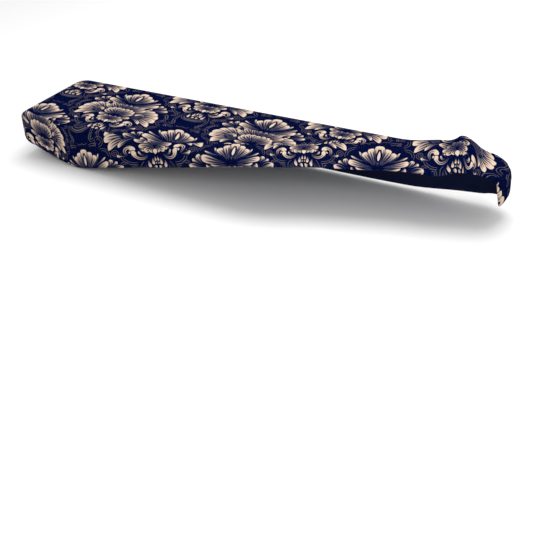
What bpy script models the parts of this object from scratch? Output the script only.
"""Fitted stretch cover of printed knit cloth: one long cap, pulled back at the front of its right half.

Metres, +Z up. The origin is in the middle of the cover, on the underside of its flat top. +X runs to the
right along its length and +Y to the back. It is open underneath and hollow.
"""

import bmesh
import bpy
import math

# Driving sizes of the cloth in place, inner faces
LEFT_X, RIGHT_X = -0.650, 0.654
FRONT_Y, BACK_Y = -0.137, 0.137
CLOTH_THICKNESS = 0.0015
LONG_EDGE_ROUND = 0.014
LEFT_EDGE_ROUND = 0.012
RIGHT_EDGE_ROUND = 0.040
FRONT_CORNER_ROUND = 0.008
LEFT_CORNER_ROUND = 0.026
RIGHT_CORNER_ROUND = 0.026
HEM_CURL_ROUND = 0.034
DEEPEST_DROP = 0.130
LEFT_FLARE, RIGHT_FLARE = 0.016, 0.008

# Front of the cover, left to right. edge_y: where the cloth turns down or ends. drop: how far it hangs
# below the top. draw: how far the elastic hem is drawn in underneath.
FRONT = (
    # x, edge_y, drop, draw
    (LEFT_X, FRONT_Y, 0.088, 0.014),
    (-0.600, FRONT_Y, 0.106, 0.011),
    (-0.520, FRONT_Y, 0.125, 0.006),
    (-0.457, FRONT_Y, 0.129, 0.003),
    (-0.345, FRONT_Y, 0.104, 0.001),
    (-0.044, FRONT_Y, 0.037, 0.000),
    (0.070, FRONT_Y, 0.011, 0.000),
    (0.137, -0.125, 0.005, 0.000),
    (0.217, -0.092, 0.004, 0.000),
    (0.351, -0.048, 0.004, 0.000),
    (0.430, -0.024, 0.004, 0.000),
    (0.508, -0.008, 0.008, 0.000),
    (0.560, 0.010, 0.005, 0.000),
    (RIGHT_X - RIGHT_EDGE_ROUND, 0.014, 0.004, 0.000),
)
# Right end, front to back: the hem falls steeply here. edge_round: how wide the cloth bends over the end
RIGHT = (
    # y, drop, draw, edge_round
    (0.028, 0.006, 0.000, 0.020),
    (0.038, 0.024, 0.000, 0.021),
    (0.049, 0.052, 0.000, 0.022),
    (0.057, 0.080, 0.001, 0.024),
    (0.066, 0.090, 0.004, 0.027),
    (0.082, 0.093, 0.009, 0.034),
    (BACK_Y, 0.092, 0.017, 0.040),
)
# Back, left to right
BACK = (
    # x, drop, draw
    (LEFT_X, 0.104, 0.015),
    (-0.570, 0.119, 0.011),
    (-0.400, 0.126, 0.009),
    (0.000, 0.128, 0.009),
    (0.400, 0.124, 0.009),
    (0.540, 0.107, 0.010),
    (RIGHT_X, 0.092, 0.017),
)
# Left end, front to back
LEFT = (
    # y, drop, draw
    (FRONT_Y, 0.088, 0.014),
    (-0.090, 0.108, 0.012),
    (0.000, 0.116, 0.010),
    (0.090, 0.114, 0.012),
    (BACK_Y, 0.104, 0.015),
)
# Bunched folds where the spare cloth is pushed together near the right end. Each crest runs from the
# hem to the back edge. left and right: how far its sides reach. The heights are above the flat top.
FOLDS = (
    # hem_x, back_x, left, right, hem_height, back_height
    (0.520, 0.510, 0.078, 0.060, 0.004, 0.020),
    (0.552, 0.531, 0.024, 0.036, 0.007, 0.019),
    (0.602, 0.600, 0.030, 0.026, 0.009, 0.005),
)
FOLD_FADES_BELOW = 0.090
FLUTE_PUSH = 0.30

# Cells of the cloth: along the top between the x values given, from front to back, and down the skirt
X_STRETCHES = (
    # to x, cells
    (-0.600, 5),
    (0.060, 20),
    (0.420, 12),
    (RIGHT_X - RIGHT_EDGE_ROUND, 18),
)
Y_CELLS = 12
EDGE_CELLS, SKIRT_CELLS, CURL_CELLS = 3, 4, 2
SHORT_SKIRT, LONG_SKIRT = 0.030, 0.070


def along(table, at, column):
    """A column of the table at a place between its rows, on a smooth curve through them."""
    at = min(max(at, table[0][0]), table[-1][0])
    k = next(k for k in range(1, len(table)) if at <= table[k][0])
    a, b = table[k - 1], table[k]
    before, after = table[max(k - 2, 0)], table[min(k + 1, len(table) - 1)]
    step = b[0] - a[0]
    slope_a = (b[column] - before[column]) / (b[0] - before[0]) * step
    slope_b = (after[column] - a[column]) / (after[0] - a[0]) * step
    t = (at - a[0]) / step
    return (
        (2 * t**3 - 3 * t**2 + 1) * a[column]
        + (t**3 - 2 * t**2 + t) * slope_a
        + (3 * t**2 - 2 * t**3) * b[column]
        + (t**3 - t**2) * slope_b
    )


def ease(t):
    t = min(max(t, 0.0), 1.0)
    return t * t * (3 - 2 * t)


def fold_height(x, y):
    """How high the folds lift the top at a place. It is nothing at all over the flat part."""
    front = along(FRONT, x, 1)
    back_share = (y - front) / (BACK_Y - front)
    height = 0.0
    for hem_x, back_x, left, right, hem_height, back_height in FOLDS:
        crest_x = hem_x + (back_x - hem_x) * back_share
        reach = left if x < crest_x else right
        away = abs(x - crest_x) / (2 * reach)
        if away < 1:
            crest = hem_height + (back_height - hem_height) * ease(back_share * 1.15)
            height += crest * math.cos(away * math.pi / 2) ** 3
    return height


def rounded(x, y, corner_x, corner_y, side_x, side_y, radius):
    """A point of a square corner moved onto the rounded one."""
    a = (x - (corner_x - side_x * radius)) * side_x / radius
    b = (y - (corner_y - side_y * radius)) * side_y / radius
    if a <= 0 or b <= 0:
        return x, y
    round_a, round_b = a * math.sqrt(1 - b * b / 2), b * math.sqrt(1 - a * a / 2)
    return (
        corner_x - side_x * radius * (1 - round_a),
        corner_y - side_y * radius * (1 - round_b),
    )


def top_point(x, across):
    """A point of the top, inside its rounded edges: across runs from 0 at the front to 1 at the back."""
    front, back = along(FRONT, x, 1) + LONG_EDGE_ROUND, BACK_Y - LONG_EDGE_ROUND
    y = front + (back - front) * across
    left, right = LEFT_X + LEFT_EDGE_ROUND, RIGHT_X - RIGHT_EDGE_ROUND
    x, y = rounded(x, y, left, FRONT_Y + LONG_EDGE_ROUND, -1, -1, FRONT_CORNER_ROUND)
    x, y = rounded(x, y, left, back, -1, 1, LEFT_CORNER_ROUND)
    return rounded(x, y, right, back, 1, 1, RIGHT_CORNER_ROUND)


def x_stations():
    stations = [LEFT_X + LEFT_EDGE_ROUND]
    for to_x, cells in X_STRETCHES:
        start = stations[-1]
        stations += [start + (to_x - start) * (k + 1) / cells for k in range(cells)]
    return stations


def outward_normals(loop):
    """The plan direction facing out of the closed loop at each of its points, evened over its neighbours."""
    count = len(loop)
    normals = []
    for k in range(count):
        (ax, ay), (bx, by) = loop[k - 1], loop[(k + 1) % count]
        length = math.hypot(bx - ax, by - ay)
        normals.append(((by - ay) / length, (ax - bx) / length))
    for _ in range(2):
        summed = [
            tuple(
                normals[k - 1][axis] + 2 * normals[k][axis] + normals[(k + 1) % count][axis]
                for axis in range(2)
            )
            for k in range(count)
        ]
        normals = [(x / math.hypot(x, y), y / math.hypot(x, y)) for x, y in summed]
    return normals


def by_side(normal, front, right, back, left):
    """A value blended from those of the four sides, by the way the cloth faces."""
    x, y = normal
    return (
        (front if y < 0 else back) * y * y + (right if x > 0 else left) * x * x
    )


def skirt_profile(drop, draw, edge_round):
    """Points (out, down) of the cloth from the edge of the top down to the hem.

    It turns over a rounded edge, hangs straight, and curls in underneath at the hem.
    """
    turn = math.acos(max(1 - drop / edge_round, 0.0))
    curl = math.acos(1 - max(draw, 0.0) / HEM_CURL_ROUND)
    curl_drop = HEM_CURL_ROUND * math.sin(curl)
    straight = max(drop - edge_round - curl_drop, 0.0)
    lengths = (edge_round * turn, straight, HEM_CURL_ROUND * curl)
    total = sum(lengths)
    cells = (EDGE_CELLS, SKIRT_CELLS, CURL_CELLS)
    by_piece, start = [], 0.0
    for length, count in zip(lengths, cells):
        by_piece += [start + length * (k + 1) / count for k in range(count)]
        start += length
    evenly = [total * (k + 1) / sum(cells) for k in range(sum(cells))]
    share = ease((total - SHORT_SKIRT) / (LONG_SKIRT - SHORT_SKIRT))
    points = []
    for even, piece in zip(evenly, by_piece):
        at = even + (piece - even) * share
        over = min(at, lengths[0]) / edge_round
        out, down = edge_round * math.sin(over), edge_round * (1 - math.cos(over))
        at -= lengths[0]
        if at > 0:
            down += min(at, straight)
            under = max(at - straight, 0.0) / HEM_CURL_ROUND
            out -= HEM_CURL_ROUND * (1 - math.cos(under))
            down += HEM_CURL_ROUND * math.sin(under)
        points.append((out, down))
    return points


def skirt_column(x, y, normal):
    """The points of the cloth below one point of the top's edge, edge first and hem last."""
    drop, draw = (
        by_side(
            normal,
            along(FRONT, x, column + 1),
            along(RIGHT, y, column),
            along(BACK, x, column),
            along(LEFT, y, column),
        )
        for column in (1, 2)
    )
    edge_round = by_side(
        normal, LONG_EDGE_ROUND, along(RIGHT, y, 3), LONG_EDGE_ROUND, LEFT_EDGE_ROUND
    )
    flare = by_side(normal, 0.0, RIGHT_FLARE, 0.0, LEFT_FLARE)
    lift = fold_height(x, y)
    column = []
    for out, down in skirt_profile(drop, draw, edge_round):
        below = down / drop
        out += flare * down / DEEPEST_DROP
        flute = FLUTE_PUSH * lift * ease(down / LONG_EDGE_ROUND) * (1 - below)
        raised = lift * ease(1 - down / FOLD_FADES_BELOW)
        column.append(
            (
                x + normal[0] * (out + flute),
                y + normal[1] * (out + flute),
                raised - down,
            )
        )
    return column


def cover_surface():
    """The underside of the cloth as one open sheet.

    The top is a grid, and the skirt is columns of points below its edge.
    """
    sheet = bmesh.new()
    stations = x_stations()
    last_x, last_y = len(stations) - 1, Y_CELLS
    top = []
    for x in stations:
        row = []
        for k in range(Y_CELLS + 1):
            px, py = top_point(x, k / Y_CELLS)
            row.append(sheet.verts.new((px, py, fold_height(px, py))))
        top.append(row)
    for i in range(last_x):
        for j in range(last_y):
            sheet.faces.new((top[i][j], top[i + 1][j], top[i + 1][j + 1], top[i][j + 1]))

    edge = [top[i][0] for i in range(last_x)]
    edge += [top[last_x][j] for j in range(last_y)]
    edge += [top[i][last_y] for i in range(last_x, 0, -1)]
    edge += [top[0][j] for j in range(last_y, 0, -1)]
    loop = [(v.co.x, v.co.y) for v in edge]
    rings = [edge]
    columns = [skirt_column(x, y, n) for (x, y), n in zip(loop, outward_normals(loop))]
    for level in zip(*columns):
        rings.append([sheet.verts.new(point) for point in level])
    for upper, lower in zip(rings, rings[1:]):
        for k in range(len(upper)):
            after = (k + 1) % len(upper)
            sheet.faces.new((upper[k], lower[k], lower[after], upper[after]))
    mesh = bpy.data.meshes.new("cover")
    sheet.to_mesh(mesh)
    sheet.free()
    return mesh


def cloth_material():
    """Navy knit with a cream print: the ground colour stands for the whole."""
    material = bpy.data.materials.new("navy_knit")
    material.use_nodes = True
    shader = material.node_tree.nodes["Principled BSDF"]
    shader.inputs["Base Color"].default_value = (0.008, 0.014, 0.060, 1.0)
    shader.inputs["Roughness"].default_value = 0.85
    shader.inputs["Metallic"].default_value = 0.0
    return material


def main():
    for old in list(bpy.data.objects):
        bpy.data.objects.remove(old)
    collection = bpy.data.collections.new("piano_keyboard_cover")
    bpy.context.scene.collection.children.link(collection)

    mesh = cover_surface()
    cover = bpy.data.objects.new("cover", mesh)
    collection.objects.link(cover)
    mesh.materials.append(cloth_material())
    mesh.shade_smooth()
    cloth = cover.modifiers.new("cloth", "SOLIDIFY")
    cloth.thickness = CLOTH_THICKNESS
    cloth.offset = 1
    cloth.use_even_offset = False
    cloth.use_rim = True


main()
